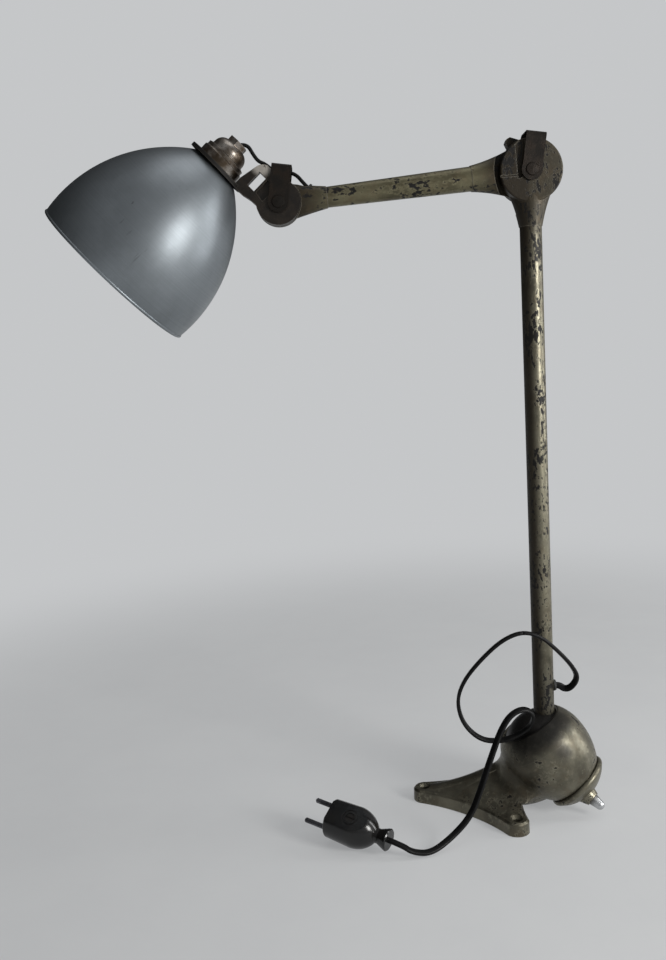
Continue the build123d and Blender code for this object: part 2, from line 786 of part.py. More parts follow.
shade_under = plate_low - shade_sheet
with BuildPart() as shade_ring:
    with BuildSketch(shade_lathe):
        with BuildLine():
            Polyline(
                (skirt_r + fit, shade_under - fit),
                (19, shade_under - fit),
                (19, shade_under - 2.2),
                (18.2, shade_under - 2.2),
                (18.2, -9),
                (skirt_r + fit, -9),
                close=True,
            )
        make_face()
    revolve(axis=shade_axis)
shade_ring.part.label = "shade_ring"
export_step(shade_ring.part, "parts/shade_ring.step")

insert_r = skirt_r - holder_wall - fit
thread_r = 13.3
shell_r = 13.9
with BuildPart() as porcelain_insert:
    with BuildSketch(shade_lathe):
        with BuildLine():
            Polyline(
                (0, 3),
                (shell_r + fit, 3),
                (shell_r + fit, -26),
                (insert_r, -26),
                (insert_r, 10),
                (0, 10),
                close=True,
            )
        make_face()
    revolve(axis=shade_axis)
porcelain_insert.part.label = "porcelain_insert"
export_step(porcelain_insert.part, "parts/porcelain_insert.step")

with BuildPart() as screw_shell:
    with BuildSketch(shade_lathe):
        with Locations(((thread_r + shell_r) / 2, -12.5)):
            Rectangle(shell_r - thread_r, 23)
    revolve(axis=shade_axis)
screw_shell.part.label = "screw_shell"
export_step(screw_shell.part, "parts/screw_shell.step")

with BuildPart() as centre_contact:
    with BuildSketch(shade_lathe):
        with BuildLine():
            Polyline((0, 3 - fit), (5, 3 - fit), (5, 2), (3, 1), (3, -0.5), (0, -0.5), close=True)
        make_face()
    revolve(axis=shade_axis)
centre_contact.part.label = "centre_contact"
export_step(centre_contact.part, "parts/centre_contact.step")

nipple_top = 28.6
with BuildPart() as entry_nipple:
    with BuildSketch(Plane(origin=neck_at - shade_dir * (24.6 + fit), x_dir=hinge, z_dir=-shade_dir)):
        RegularPolygon(7.2, 6, major_radius=False)
    extrude(amount=nipple_top - 24.6 - fit)
    with BuildSketch(Plane(origin=neck_at - shade_dir * 20, x_dir=hinge, z_dir=-shade_dir)):
        Circle(5.2 - fit)
    extrude(amount=5)
    with BuildSketch(shade_lathe):
        with BuildLine():
            Polyline(
                (0, 19),
                (head_flex_r + fit, 19),
                (head_flex_r + fit, 23),
                (5, nipple_top + 0.1),
                (0, nipple_top + 0.1),
                close=True,
            )
        make_face()
    revolve(axis=shade_axis, mode=Mode.SUBTRACT)
entry_nipple.part.label = "entry_nipple"
export_step(entry_nipple.part, "parts/entry_nipple.step")

# Spun shade with a rolled rim
belly_level = 97
belly_r = shade_rim_r + 1.1
shade_arc = ((belly_r - shade_neck_r) ** 2 + belly_level**2) / (2 * (belly_r - shade_neck_r))
arc_in = shade_arc - belly_r
inner_arc = shade_arc - shade_sheet


def ogive(arc, level):
    return sqrt(arc**2 - (belly_level + level) ** 2) - arc_in


bead_r = 1.3
with BuildPart() as shade:
    with BuildSketch(shade_lathe):
        with BuildLine():
            half = -shade_depth / 2
            brim = bead_r - shade_depth
            throat = -0.9
            Polyline((ogive(shade_arc, 0), 0), (19.6, plate_low - fit), (skirt_r + fit, plate_low - fit))
            Polyline((skirt_r + fit, plate_low - fit), (skirt_r + fit, shade_under), (19.3, shade_under))
            Line((19.3, shade_under), (ogive(inner_arc, throat), throat))
            ThreePointArc(
                (ogive(inner_arc, throat), throat),
                (ogive(inner_arc, half), half),
                (ogive(inner_arc, brim), brim),
            )
            Line((ogive(inner_arc, brim), brim), (ogive(shade_arc, brim), brim))
            ThreePointArc(
                (ogive(shade_arc, brim), brim),
                (ogive(shade_arc, half), half),
                (ogive(shade_arc, 0), 0),
            )
        make_face()
    revolve(axis=shade_axis)
    with BuildSketch(shade_lathe):
        with Locations((ogive(inner_arc, brim) + 0.4, brim)):
            Circle(bead_r)
    revolve(axis=shade_axis)
shade.part.label = "shade"
export_step(shade.part, "parts/shade.step")

# Plug lying on its widest part, its cord end towards the lamp
plug_tilt = radians(8)
plug_turn = radians(162.7)
plug_widest = 30
plug_rest = plug_body_r * cos(plug_tilt) - plug_widest * sin(plug_tilt) + fit
plug_dir = Vector(cos(plug_turn) * cos(plug_tilt), sin(plug_turn) * cos(plug_tilt), sin(plug_tilt))
plug_across = Vector(-sin(plug_turn), cos(plug_turn), 0)
plug_neck_at = Vector(-69.2, -96.4, plug_rest)
plug_upright = plug_dir.cross(plug_across).normalized()
roll = radians(-31)
pin_across = plug_across * cos(roll) + plug_upright * sin(roll)
split = plug_dir.cross(pin_across).normalized()
plug_axis = Axis(plug_neck_at, plug_dir)
plug_lathe = lathe(plug_neck_at, pin_across, plug_dir)
cord_bore = flex_r + fit
waist_r = 5.9
waist_end = 11.5
pin_r_plug = 2
pin_root = 40
screw_reach = 33
pin_plane = Plane(origin=plug_neck_at + plug_dir * pin_root, x_dir=pin_across, z_dir=plug_dir)
screw_plane = Plane(origin=plug_neck_at + plug_dir * screw_reach, x_dir=plug_dir, z_dir=split)
flat_top = 12.6
screw_r = 1.6
head_seat = flat_top - 2.6


def plug_profile():
    Polyline((waist_r, waist_end), (waist_r, 9), (plug_collar_r - 0.3, 2.2), (plug_collar_r, 0.8))
    Polyline((plug_collar_r, 0.8), (plug_collar_r - 0.7, 0), (cord_bore, 0), (cord_bore, 20), (0, 20))
    Polyline((0, 20), (0, plug_length), (plug_face_r - 0.6, plug_length), (plug_face_r, plug_length - 0.8))
    Line((plug_face_r, plug_length - 0.8), (plug_body_r, plug_widest))
    ThreePointArc((plug_body_r, plug_widest), (12.2, 17.5), (waist_r, waist_end))


with BuildPart() as plug_top:
    with BuildSketch(plug_lathe):
        with BuildLine():
            plug_profile()
        make_face()
    revolve(axis=plug_axis, revolution_arc=360)
    with BuildSketch(Plane(origin=plug_neck_at, x_dir=plug_dir, z_dir=split)):
        Rectangle(200, 100)
    extrude(amount=-60, mode=Mode.SUBTRACT)
    # Flat oval on top with a ring round the screw
    with BuildSketch(screw_plane.offset(flat_top)):
        Rectangle(100, 60)
    extrude(amount=10, mode=Mode.SUBTRACT)
    with BuildSketch(screw_plane.offset(flat_top - 0.7)):
        Circle(6.6)
        Circle(5.4, mode=Mode.SUBTRACT)
    extrude(amount=2, mode=Mode.SUBTRACT)
    with BuildSketch(pin_plane):
        with Locations((pin_spacing / 2, 0), (-pin_spacing / 2, 0)):
            Circle(pin_r_plug + fit)
    extrude(amount=20, mode=Mode.SUBTRACT)
    with BuildSketch(screw_plane):
        Circle(screw_r + fit)
    extrude(amount=40, mode=Mode.SUBTRACT)
    with BuildSketch(screw_plane.offset(head_seat)):
        Circle(4)
    extrude(amount=10, mode=Mode.SUBTRACT)
plug_top.part.label = "plug_top"
export_step(plug_top.part, "parts/plug_top.step")

with BuildPart() as plug_bottom:
    with BuildSketch(plug_lathe):
        with BuildLine():
            plug_profile()
        make_face()
    revolve(axis=plug_axis, revolution_arc=360)
    with BuildSketch(Plane(origin=plug_neck_at, x_dir=plug_dir, z_dir=split)):
        Rectangle(200, 100)
    extrude(amount=60, mode=Mode.SUBTRACT)
    with BuildSketch(pin_plane):
        with Locations((pin_spacing / 2, 0), (-pin_spacing / 2, 0)):
            Circle(pin_r_plug + fit)
    extrude(amount=20, mode=Mode.SUBTRACT)
    with BuildSketch(screw_plane):
        Circle(screw_r + fit)
    extrude(amount=-10, mode=Mode.SUBTRACT)
plug_bottom.part.label = "plug_bottom"
export_step(plug_bottom.part, "parts/plug_bottom.step")

with BuildPart() as plug_pin_far:
    with BuildSketch(pin_plane.offset(fit)):
        with Locations((pin_spacing / 2, 0)):
            Circle(pin_r_plug)
    extrude(amount=plug_length - pin_root + pin_length)
    chamfer(plug_pin_far.faces().sort_by(Axis((0, 0, 0), plug_dir))[-1].edges(), 0.8)
plug_pin_far.part.label = "plug_pin_far"
export_step(plug_pin_far.part, "parts/plug_pin_far.step")

with BuildPart() as plug_pin_near:
    with BuildSketch(pin_plane.offset(fit)):
        with Locations((-pin_spacing / 2, 0)):
            Circle(pin_r_plug)
    extrude(amount=plug_length - pin_root + pin_length)
    chamfer(plug_pin_near.faces().sort_by(Axis((0, 0, 0), plug_dir))[-1].edges(), 0.8)
plug_pin_near.part.label = "plug_pin_near"
export_step(plug_pin_near.part, "parts/plug_pin_near.step")

with BuildPart() as plug_screw:
    with BuildSketch(screw_plane.offset(-9)):
        Circle(screw_r)
    extrude(amount=9 + head_seat + 0.5)
    with BuildSketch(screw_plane.offset(head_seat + fit)):
        Circle(3.8)
    extrude(amount=2)
    with BuildSketch(screw_plane.offset(head_seat + 1.2)):
        Rectangle(9, 0.9)
    extrude(amount=3, mode=Mode.SUBTRACT)
plug_screw.part.label = "plug_screw"
export_step(plug_screw.part, "parts/plug_screw.step")


# Cords: straight runs joined by tangent arcs
def bends(points):
    radii = []
    for before, here, after in zip(points, points[1:], points[2:]):
        arriving = here - before
        leaving = after - here
        half_turn = radians(arriving.get_angle(leaving)) / 2
        radii.append(0.45 * min(arriving.length, leaving.length) / tan(half_turn))
    return radii


cord_exit = ball_at + up * cord_height + side * bush_face
cord_start = cord_exit - side * 4.3
cord_end = plug_neck_at + plug_dir * 6
cord_route = [
    cord_start,
    cord_exit + side * 3,
    cord_exit + side * 7.2 - up * 4,
    Vector(72.6, 1.5, 105.4),
    Vector(78.5, -4, 116.7),
    Vector(73.4, -10.5, 129.2),
    Vector(63, -17.5, 143.3),
    Vector(50.7, -22, 156.2),
    Vector(35.8, -26, 162.1),
    Vector(19.1, -29.7, 155.7),
    Vector(2.7, -33.4, 141),
    Vector(-12.3, -36.4, 123.4),
    Vector(-19, -37, 105.4),
    Vector(-14.8, -34.3, 84.6),
    Vector(-1.7, -29.5, 69.6),
    Vector(12.7, -26.5, 67.4),
    Vector(25.8, -25.5, 71),
    Vector(39.8, -24, 79.9),
    Vector(43.1, -26.5, 92.1),
    Vector(35, -31, 99),
    Vector(23.9, -36.5, 94.8),
    Vector(16.3, -42.5, 83.3),
    Vector(11.1, -48.5, 70.4),
    Vector(5.8, -54, 56.4),
    Vector(0.1, -60, 40.2),
    Vector(-7.4, -68, 21.7),
    Vector(-21.5, -79, flex_r + 7),
    Vector(-36.8, -94.3, flex_r + 0.3),
    Vector(-51, -99, flex_r + 3),
    plug_neck_at - plug_dir * 12,
    cord_end,
]
cord_radii = bends(cord_route)
with BuildPart() as main_cord:
    with BuildLine() as cord_line:
        FilletPolyline(*cord_route, radius=cord_radii)
    with BuildSketch(Plane(origin=cord_start, z_dir=cord_line.line % 0)):
        Circle(flex_r)
    sweep(path=cord_line.line)
main_cord.part.label = "main_cord"
export_step(main_cord.part, "parts/main_cord.step")
cord_length = sum(edge.length for edge in cord_line.edges())
print("main cord", round(cord_length, 1), "bends", [round(radius, 1) for radius in cord_radii])
print("volume over section times length", main_cord.part.volume / (pi * flex_r**2 * cord_length))


def over_head(across, high, behind):
    return head_at + side * across + up * high + hinge * behind


def over_neck(across, high, behind):
    return neck_at + shade_side * across - shade_dir * high + hinge * behind


head_route = [
    over_neck(0, 20, 0),
    over_neck(0, 24.7, 0),
    over_neck(2.2, 29.2, 0.2),
    over_neck(6.6, 31.9, 0.6),
    over_neck(12.8, 30.2, 1.2),
    over_neck(19.5, 29.2, 1.8),
    over_neck(24.5, 31.4, 2.2),
    over_head(-5.8, 28.1, 2.4),
    over_head(-3.2, 25.2, 2.4),
    over_head(2.5, 23.9, 2.4),
    over_head(9, 23.4, 2),
    over_head(15.3, 20.8, 1),
    port_at + port_dir * 16,
    port_at + port_dir * (port_in + fit),
]
head_radii = bends(head_route)
with BuildPart() as head_cord:
    with BuildLine() as head_line:
        FilletPolyline(*head_route, radius=head_radii)
    with BuildSketch(Plane(origin=head_route[0], z_dir=head_line.line % 0)):
        Circle(head_flex_r)
    sweep(path=head_line.line)
head_cord.part.label = "head_cord"
export_step(head_cord.part, "parts/head_cord.step")
head_length = sum(edge.length for edge in head_line.edges())
print("head cord", round(head_length, 1), "bends", [round(radius, 1) for radius in head_radii])
print("volume over section times length", head_cord.part.volume / (pi * head_flex_r**2 * head_length))

# Leads inside the tubes, lying against the wall
with BuildPart() as mast_lead:
    with BuildSketch(Plane(origin=ball_at + up * (cord_height + 6) - side * (mast_bore - flex_r - fit))):
        Circle(flex_r)
    extrude(amount=mast_top - cord_height - 8)
mast_lead.part.label = "mast_lead"
export_step(mast_lead.part, "parts/mast_lead.step")

with BuildPart() as arm_lead:
    with BuildSketch(arm_section(arm_sink + 2)):
        with Locations((fit + head_flex_r - arm_bore, 0)):
            Circle(head_flex_r)
    extrude(amount=tip_sink - arm_sink - 4)
arm_lead.part.label = "arm_lead"
export_step(arm_lead.part, "parts/arm_lead.step")
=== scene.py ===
import json
from math import cos, pi, radians, sin

import bpy
from mathutils import Matrix, Vector

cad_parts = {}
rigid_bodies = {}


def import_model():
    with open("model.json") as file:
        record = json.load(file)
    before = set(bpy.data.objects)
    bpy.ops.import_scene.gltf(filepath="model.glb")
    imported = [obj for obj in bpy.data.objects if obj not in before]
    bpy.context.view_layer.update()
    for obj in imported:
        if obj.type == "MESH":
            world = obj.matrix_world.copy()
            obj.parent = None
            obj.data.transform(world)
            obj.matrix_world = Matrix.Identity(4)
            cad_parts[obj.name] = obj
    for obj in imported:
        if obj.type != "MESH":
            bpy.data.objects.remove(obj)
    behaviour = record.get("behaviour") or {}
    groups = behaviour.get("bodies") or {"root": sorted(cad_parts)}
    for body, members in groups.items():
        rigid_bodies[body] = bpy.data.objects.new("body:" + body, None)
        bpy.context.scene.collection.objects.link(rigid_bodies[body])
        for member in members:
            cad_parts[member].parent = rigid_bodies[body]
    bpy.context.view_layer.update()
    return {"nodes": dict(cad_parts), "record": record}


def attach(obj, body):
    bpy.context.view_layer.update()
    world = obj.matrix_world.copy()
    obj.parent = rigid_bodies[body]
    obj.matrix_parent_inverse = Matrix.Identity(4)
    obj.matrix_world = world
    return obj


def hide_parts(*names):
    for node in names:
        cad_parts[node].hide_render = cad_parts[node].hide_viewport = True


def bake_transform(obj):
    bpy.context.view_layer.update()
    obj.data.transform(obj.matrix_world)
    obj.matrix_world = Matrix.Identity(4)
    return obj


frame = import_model()
nodes = frame["nodes"]
joints = {joint["name"]: joint for joint in frame["record"]["behaviour"]["joints"]}
mounts = {mount["name"]: mount for mount in frame["record"]["mounts"]}
scene = bpy.context.scene
scene.view_settings.view_transform = "Standard"

# Places and directions: the mast, the arm and the shade lie in one upright plane, turned by swing
up = Vector((0, 0, 1))
swing = radians(14)
side = Vector((cos(swing), sin(swing), 0))
hinge = Vector((-sin(swing), cos(swing), 0))
ball_at = Vector(joints["mast_tilt"]["pos_m"])
elbow_at = Vector(joints["elbow"]["pos_m"])
head_at = Vector(joints["head_tilt"]["pos_m"])
shade_dir = Vector(mounts["lamp_socket"]["axis"])
mast_dir = (elbow_at - ball_at).normalized()
mast_across = (side - mast_dir * side.dot(mast_dir)).normalized()
arm_dir = (head_at - elbow_at).normalized()
arm_rise = hinge.cross(arm_dir)
shade_side = shade_dir.cross(hinge)
bracket_rise = 0.0176
bracket_reach = 0.0535
neck_at = head_at + shade_dir * bracket_rise - shade_side * bracket_reach
port_run = 0.1652
port_lean = radians(40)
port_at = elbow_at + arm_dir * port_run
port_dir = arm_rise * cos(port_lean) + arm_dir * sin(port_lean)


# A place measured from the shade's neck, along the shade's own directions
def over_neck(along, height, depth):
    return neck_at + shade_side * along - shade_dir * height + hinge * depth


# A place measured from the head joint, along the lamp's plane
def over_head(along, height, depth):
    return head_at + side * along + up * height + hinge * depth


# Camera, at the height and angle the lamp was seen from
def set_camera():
    place = (0.0721, -0.77795, 0.39867)
    image_height = 960
    focal_pixels = 942
    sensor = 36
    pitch = radians(8)
    roll = radians(3.327)
    forward = hinge * cos(pitch) - up * sin(pitch)
    down = forward.cross(side)
    right = side * cos(roll) + down * sin(roll)
    below = down * cos(roll) - side * sin(roll)
    data = bpy.data.cameras.new("photo_view")
    data.sensor_fit = "VERTICAL"
    data.sensor_height = sensor
    data.lens = sensor * focal_pixels / image_height
    data.clip_end = 50
    camera = bpy.data.objects.new("photo_view", data)
    scene.collection.objects.link(camera)
    turn = Matrix((right, -below, -forward)).transposed().to_4x4()
    camera.matrix_world = Matrix.Translation(place) @ turn
    scene.camera = camera


set_camera()


# Node helpers
def add_node(tree, kind, **settings):
    made = tree.nodes.new(kind)
    for name, value in settings.items():
        setattr(made, name, value)
    return made


def join(tree, source, target):
    tree.links.new(source, target)


def new_finish(name):
    material = bpy.data.materials.new(name)
    material.use_nodes = True
    tree = material.node_tree
    shader = tree.nodes["Principled BSDF"]
    return material, tree, shader


def new_effect(name, inputs, outputs):
    tree = bpy.data.node_groups.new(name, "ShaderNodeTree")
    for label, kind, value in inputs:
        socket = tree.interface.new_socket(label, in_out="INPUT", socket_type=kind)
        if value is not None:
            socket.default_value = value
    for label, kind in outputs:
        tree.interface.new_socket(label, in_out="OUTPUT", socket_type=kind)
    return tree, add_node(tree, "NodeGroupInput"), add_node(tree, "NodeGroupOutput")


def use_effect(tree, effect, **values):
    made = add_node(tree, "ShaderNodeGroup", node_tree=effect)
    for label, value in values.items():
        made.inputs[label.replace("_", " ")].default_value = value
    return made


def noise(tree, coords, scale, detail=4.0, rough=0.55):
    made = add_node(tree, "ShaderNodeTexNoise")
    made.inputs["Detail"].default_value = detail
    made.inputs["Roughness"].default_value = rough
    if isinstance(scale, (int, float)):
        made.inputs["Scale"].default_value = scale
    else:
        join(tree, scale, made.inputs["Scale"])
    join(tree, coords, made.inputs["Vector"])
    return made.outputs["Fac"]


def ramp(tree, value, low, high, start=0.0, end=1.0):
    made = add_node(tree, "ShaderNodeMapRange", interpolation_type="SMOOTHSTEP")
    for label, number in (("From Min", low), ("From Max", high), ("To Min", start), ("To Max", end)):
        if isinstance(number, (int, float)):
            made.inputs[label].default_value = number
        else:
            join(tree, number, made.inputs[label])
    join(tree, value, made.inputs["Value"])
    return made.outputs["Result"]


def sums(tree, operation, first, second):
    made = add_node(tree, "ShaderNodeMath", operation=operation)
    for place, value in enumerate((first, second)):
        if isinstance(value, (int, float)):
            made.inputs[place].default_value = value
        else:
            join(tree, value, made.inputs[place])
    return made.outputs[0]


def tint(tree, mask, first, second, way="MIX"):
    made = add_node(tree, "ShaderNodeMix", data_type="RGBA", blend_type=way)
    for place, value in (("A", first), ("B", second)):
        socket = [s for s in made.inputs if s.name == place and s.type == "RGBA"][0]
        if isinstance(value, tuple):
            socket.default_value = value
        else:
            join(tree, value, socket)
    factor = [s for s in made.inputs if s.name == "Factor" and s.type == "VALUE"][0]
    if isinstance(mask, (int, float)):
        factor.default_value = mask
    else:
        join(tree, mask, factor)
    return [s for s in made.outputs if s.type == "RGBA"][0]


def rgb(red, green, blue):
    return (red, green, blue, 1.0)


# Dark colours for grime spots, also used for painted shade
black_grime_and_shade = rgb(0.012, 0.011, 0.009)
brown_grime_and_shade = rgb(0.02, 0.0145, 0.008)


# Chips: clustered flakes of lost paint, with a mask and a height
def chips_effect():
    tree, given, result = new_effect(
        "paint_chips",
        [
            ("Coords", "NodeSocketVector", None),
            ("Scale", "NodeSocketFloat", 300.0),
            ("Loss", "NodeSocketFloat", 0.45),
        ],
        [("Mask", "NodeSocketFloat"), ("Wear", "NodeSocketFloat")],
    )
    coords = given.outputs["Coords"]
    fine = noise(tree, coords, given.outputs["Scale"], 6, 0.62)
    wide = noise(tree, coords, sums(tree, "MULTIPLY", given.outputs["Scale"], 0.16), 3, 0.5)
    field = sums(tree, "ADD", sums(tree, "MULTIPLY", fine, 0.6), sums(tree, "MULTIPLY", wide, 0.4))
    edge = sums(tree, "SUBTRACT", 1.0, given.outputs["Loss"])
    mask = ramp(tree, field, edge, sums(tree, "ADD", edge, 0.035))
    wear = ramp(tree, field, sums(tree, "SUBTRACT", edge, 0.07), edge)
    join(tree, mask, result.inputs["Mask"])
    join(tree, wear, result.inputs["Wear"])
    return tree


# Edge wear: where the surface turns sharply within a small distance
def edge_effect():
    tree, given, result = new_effect(
        "rubbed_edges",
        [("Coords", "NodeSocketVector", None), ("Amount", "NodeSocketFloat", 1.0)],
        [("Mask", "NodeSocketFloat")],
    )
    soft = add_node(tree, "ShaderNodeBevel", samples=6)
    soft.inputs["Radius"].default_value = 0.0012
    flat = add_node(tree, "ShaderNodeNewGeometry")
    meet = add_node(tree, "ShaderNodeVectorMath", operation="DOT_PRODUCT")
    join(tree, soft.outputs["Normal"], meet.inputs[0])
    join(tree, flat.outputs["Normal"], meet.inputs[1])
    turned = sums(tree, "SUBTRACT", 1.0, meet.outputs["Value"])
    broken = noise(tree, given.outputs["Coords"], 260.0, 4, 0.6)
    mask = ramp(tree, sums(tree, "MULTIPLY", turned, broken), 0.03, 0.12)
    join(tree, sums(tree, "MULTIPLY", mask, given.outputs["Amount"]), result.inputs["Mask"])
    return tree


# Stains: broad soft clouds of dirt or tarnish
def stain_effect():
    tree, given, result = new_effect(
        "stain_clouds",
        [
            ("Coords", "NodeSocketVector", None),
            ("Scale", "NodeSocketFloat", 60.0),
            ("Cover", "NodeSocketFloat", 0.5),
        ],
        [("Mask", "NodeSocketFloat"), ("Grain", "NodeSocketFloat")],
    )
    cloud = noise(tree, given.outputs["Coords"], given.outputs["Scale"], 7, 0.6)
    edge = sums(tree, "SUBTRACT", 1.0, given.outputs["Cover"])
    mask = ramp(tree, cloud, sums(tree, "SUBTRACT", edge, 0.16), sums(tree, "ADD", edge, 0.16))
    grain = noise(tree, given.outputs["Coords"], sums(tree, "MULTIPLY", given.outputs["Scale"], 14), 3, 0.6)
    join(tree, mask, result.inputs["Mask"])
    join(tree, grain, result.inputs["Grain"])
    return tree


chips = chips_effect()
edges = edge_effect()
stains = stain_effect()


def object_coords(tree, stretch=(1, 1, 1)):
    place = add_node(tree, "ShaderNodeTexCoord")
    mapping = add_node(tree, "ShaderNodeMapping")
    mapping.inputs["Scale"].default_value = stretch
    join(tree, place.outputs["Object"], mapping.inputs["Vector"])
    return mapping.outputs["Vector"], place.outputs["Object"]


def near(tree, place, centre, inner, outer):
    away = add_node(tree, "ShaderNodeVectorMath", operation="DISTANCE")
    join(tree, place, away.inputs[0])
    away.inputs[1].default_value = centre
    return ramp(tree, away.outputs["Value"], outer, inner)


def bump(tree, shader, height, strength, distance=0.0004):
    made = add_node(tree, "ShaderNodeBump")
    made.inputs["Strength"].default_value = strength
    made.inputs["Distance"].default_value = distance
    join(tree, height, made.inputs["Height"])
    join(tree, made.outputs["Normal"], shader.inputs["Normal"])


# Silver-grey paint worn through to black iron, with grime in the places it gathers, dark spots that are
# partly painted shade, and an optional painted shade darkening one side
def worn_paint(
    name, paint, loss, scale, stretch=(1, 1, 1), grime_and_shade=(), cover=0.45, brown=0.0, rubbing=0.7, shaded_side=None
):
    material, tree, shader = new_finish(name)
    coords, place = object_coords(tree, stretch)
    flakes = use_effect(tree, chips, Scale=scale, Loss=loss)
    join(tree, coords, flakes.inputs["Coords"])
    cloud = use_effect(tree, stains, Scale=42.0, Cover=cover)
    join(tree, place, cloud.inputs["Coords"])
    rub = use_effect(tree, edges, Amount=rubbing)
    join(tree, place, rub.inputs["Coords"])
    darker = tuple(channel * 0.5 for channel in paint[:3]) + (1.0,)
    lighter = tuple(min(1, channel * 1.15) for channel in paint[:3]) + (1.0,)
    colour = tint(tree, cloud.outputs["Mask"], paint, darker)
    colour = tint(tree, flakes.outputs["Wear"], colour, lighter)
    rust = use_effect(tree, stains, Scale=110.0, Cover=0.4)
    join(tree, place, rust.inputs["Coords"])
    colour = tint(tree, sums(tree, "MULTIPLY", rust.outputs["Mask"], brown), colour, rgb(0.10, 0.066, 0.035))
    covered = flakes.outputs["Mask"]
    # Dark spots round given centres: grime, and on the base partly painted shade
    for centre, inner, outer, strength, shown in grime_and_shade:
        ring = sums(tree, "MULTIPLY", near(tree, place, centre, inner, outer), strength)
        patchy = sums(tree, "MULTIPLY", ring, ramp(tree, rust.outputs["Grain"], 0.1, 0.42))
        rubbed = tuple(channel * 2.4 for channel in shown[:3]) + (1.0,)
        colour = tint(tree, patchy, colour, tint(tree, rust.outputs["Mask"], shown, rubbed))
        covered = sums(tree, "MAXIMUM", covered, patchy)
    # Painted shade: the side away from the light darkened towards brown, in patches, across the given
    # direction
    if shaded_side is not None:
        origin, across, shade_start, shade_full, strength = shaded_side
        over = add_node(tree, "ShaderNodeVectorMath", operation="DOT_PRODUCT")
        join(tree, place, over.inputs[0])
        over.inputs[1].default_value = across
        level = across.dot(origin)
        painted_shade = ramp(tree, over.outputs["Value"], level + shade_start, level + shade_full, 0.0, strength)
        painted_shade = sums(tree, "MULTIPLY", painted_shade, ramp(tree, rust.outputs["Grain"], 0.1, 0.45, 0.6, 1.0))
        colour = tint(tree, painted_shade, colour, brown_grime_and_shade)
        covered = sums(tree, "MAXIMUM", covered, painted_shade)
    colour = tint(tree, flakes.outputs["Mask"], colour, rgb(0.011, 0.010, 0.009))
    colour = tint(tree, rub.outputs["Mask"], colour, rgb(0.24, 0.22, 0.18))
    join(tree, colour, shader.inputs["Base Color"])
    rough = ramp(tree, cloud.outputs["Grain"], 0.2, 0.8, 0.28, 0.46)
    rough = sums(tree, "ADD", rough, sums(tree, "MULTIPLY", covered, 0.12))
    join(tree, rough, shader.inputs["Roughness"])
    join(tree, ramp(tree, covered, 0.0, 1.0, 0.72, 0.2), shader.inputs["Metallic"])
    join(tree, ramp(tree, covered, 0.0, 1.0, 0.5, 0.25), shader.inputs["Specular IOR Level"])
    grain = sums(tree, "MULTIPLY", cloud.outputs["Grain"], 0.35)
    height = sums(tree, "SUBTRACT", grain, flakes.outputs["Mask"])
    bump(tree, shader, height, 0.3)
    return material


# Bare or plated metal with tarnish clouds
def aged_metal(
    name, bright, dull, cover, rough_low, rough_high, metallic, scale=70.0, relief=0.15, polished=None
):
    material, tree, shader = new_finish(name)
    coords, place = object_coords(tree)
    cloud = use_effect(tree, stains, Scale=scale, Cover=cover)
    join(tree, coords, cloud.inputs["Coords"])
    rub = use_effect(tree, edges, Amount=0.7)
    join(tree, place, rub.inputs["Coords"])
    colour = tint(tree, cloud.outputs["Mask"], bright, dull)
    speck = ramp(tree, cloud.outputs["Grain"], 0.55, 0.7)
    colour = tint(tree, sums(tree, "MULTIPLY", speck, 0.5), colour, tuple(c * 0.4 for c in dull[:3]) + (1.0,))
    colour = tint(tree, rub.outputs["Mask"], colour, bright)
    rough = ramp(tree, cloud.outputs["Mask"], 0, 1, rough_low, rough_high)
    if polished is not None:
        hand = near(tree, place, *polished)
        colour = tint(tree, hand, colour, rgb(0.52, 0.53, 0.54))
        rough = ramp(tree, hand, 0, 1, rough, 0.24)
    join(tree, colour, shader.inputs["Base Color"])
    join(tree, rough, shader.inputs["Roughness"])
    shader.inputs["Metallic"].default_value = metallic
    bump(tree, shader, cloud.outputs["Grain"], relief)
    return material


# Rubber, moulding and fibre
def dull_black(name, colour, worn, rough_low, rough_high, cover=0.4, scale=90.0, relief=0.1, sheen=0.5):
    material, tree, shader = new_finish(name)
    coords, place = object_coords(tree)
    cloud = use_effect(tree, stains, Scale=scale, Cover=cover)
    join(tree, coords, cloud.inputs["Coords"])
    rub = use_effect(tree, edges, Amount=0.9)
    join(tree, place, rub.inputs["Coords"])
    shown = tint(tree, cloud.outputs["Mask"], colour, worn)
    shown = tint(tree, rub.outputs["Mask"], shown, tuple(min(1, c * 2.2) for c in worn[:3]) + (1.0,))
    join(tree, shown, shader.inputs["Base Color"])
    rough = ramp(tree, cloud.outputs["Grain"], 0.2, 0.8, rough_low, rough_high)
    join(tree, rough, shader.inputs["Roughness"])
    shader.inputs["Specular IOR Level"].default_value = sheen
    bump(tree, shader, cloud.outputs["Grain"], relief, 0.0002)
    return material


